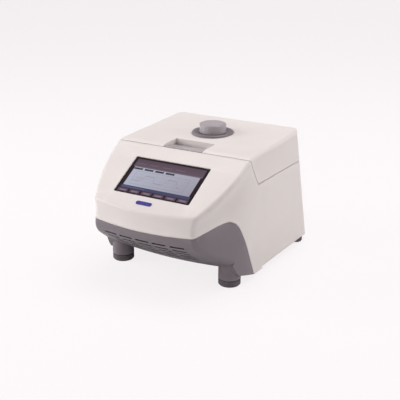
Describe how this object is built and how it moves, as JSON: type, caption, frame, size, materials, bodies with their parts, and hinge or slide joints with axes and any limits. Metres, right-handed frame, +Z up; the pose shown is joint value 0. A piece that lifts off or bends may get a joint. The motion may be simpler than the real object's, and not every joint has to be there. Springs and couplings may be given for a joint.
{
  "type": "thermal cycler",
  "caption": "Bench thermal cycler with a sloping display, hinged lid with pressure knob, sample block, heat sink and fans in a flared two-tone case.",
  "frame": {"origin": "on the bench plane, under the middle of the case's width and depth", "axes": "+Z up, +Y towards the back, +X to the operator's right"},
  "size_m": [0.282, 0.3933, 0.247],
  "materials": {
    "white_housing": "fine satin moulded texture",
    "grey_housing": "fine satin moulded texture",
    "knob_grey": "smooth satin moulding",
    "rubber_feet": "matt",
    "silicone": "matt",
    "screw_steel": "zinc plated",
    "ground_steel": "ground",
    "screen_glass": "gloss touch panel over a lit display",
    "sheet_metal": "plain sheet",
    "circuit_board": "solder mask",
    "badge_blue": "plain oval badge",
    "block_aluminium": "fine machined and anodised",
    "black_plastic": "matt",
    "graphite": "flexible graphite",
    "alumina": "ceramic faces",
    "panel_paint": "satin powder coat",
    "bronze": "turned bearing bronze",
    "mica_board": "rigid insulation board"
  },
  "bodies": {
    "case": {"base_housing": "grey_housing", "main_housing": "white_housing", "front_feet": "rubber_feet", "rear_feet": "rubber_feet", "foot_screws": "screw_steel", "housing_screws": "screw_steel", "hinge_pins": "ground_steel", "latch_strike": "ground_steel", "strike_screws": "screw_steel", "display_glass": "screen_glass", "display_module": "sheet_metal", "display_bracket": "sheet_metal", "display_screws": "screw_steel", "control_board": "circuit_board", "badge": "badge_blue", "sample_block": "block_aluminium", "block_surround": "black_plastic", "block_seal": "silicone", "thermal_sheet": "graphite", "peltier_modules": "alumina", "heat_sink": "block_aluminium", "clamp_screws": "screw_steel", "air_duct": "sheet_metal", "fan_frames": "black_plastic", "fan_screws": "screw_steel", "main_board": "circuit_board", "board_screws": "screw_steel", "power_supply": "sheet_metal", "display_cable": "black_plastic", "power_cable": "black_plastic", "rear_panel": "panel_paint", "rear_panel_screws": "screw_steel", "inlet_socket": "black_plastic", "switch_body": "black_plastic", "usb_port": "sheet_metal"},
    "lid": {"lid_shell": "white_housing", "lid_inner_cover": "white_housing", "lid_frame": "sheet_metal", "lid_screws": "screw_steel", "guide_rods": "ground_steel", "screw_bush": "bronze", "escutcheon": "grey_housing", "latch_pin": "ground_steel", "latch_spring": "ground_steel"},
    "knob": {"knob_grip": "knob_grey", "knob_cap": "knob_grey", "lead_screw": "ground_steel", "circlip": "ground_steel"},
    "press": {"pressure_carriage": "sheet_metal", "drive_nut": "bronze", "press_springs": "ground_steel", "shoulder_bolts": "screw_steel", "insulator_plate": "mica_board", "heater_mat": "silicone", "heated_plate": "block_aluminium"},
    "latch": {"latch_handle": "knob_grey"},
    "left_fan": {"fan_rotor_left": "black_plastic"},
    "right_fan": {"fan_rotor_right": "black_plastic"},
    "power_rocker": {"switch_rocker": "black_plastic"},
    "fuse_holder": {"fuse_drawer": "black_plastic"}
  },
  "joints": [
    {"name": "lid_hinge", "type": "hinge", "parent": "case", "child": "lid", "pos_m": [0, 0.1592, 0.171], "axis": [-1, 0, 0], "range_deg": [0, 80]},
    {"name": "latch_pivot", "type": "hinge", "parent": "lid", "child": "latch", "pos_m": [0, -0.024, 0.206], "axis": [-1, 0, 0], "range_deg": [0, 12]},
    {"name": "plate_slide", "type": "slide", "parent": "lid", "child": "press", "axis": [0, 0, -1], "range_m": [0, 0.008]},
    {"name": "knob_turn", "type": "hinge", "parent": "lid", "child": "knob", "pos_m": [0, 0.048, 0.2], "axis": [0, 0, -1], "range_deg": [0, 720]},
    {"name": "left_fan_spin", "type": "hinge", "parent": "case", "child": "left_fan", "pos_m": [-0.032, 0.1465, 0.11], "axis": [0, 1, 0], "continuous": true},
    {"name": "right_fan_spin", "type": "hinge", "parent": "case", "child": "right_fan", "pos_m": [0.032, 0.1465, 0.11], "axis": [0, 1, 0], "continuous": true},
    {"name": "power_switch", "type": "hinge", "parent": "case", "child": "power_rocker", "pos_m": [-0.018, 0.1883, 0.05242], "axis": [-1, 0, 0], "range_deg": [0, 18]},
    {"name": "fuse_slide", "type": "slide", "parent": "case", "child": "fuse_holder", "axis": [0, 0.9759, 0.2181], "range_m": [0, 0.015]}
  ],
  "couplings": [
    {"joint": "knob_turn", "follows": "plate_slide", "rad_per_m": 1570.8}
  ]
}
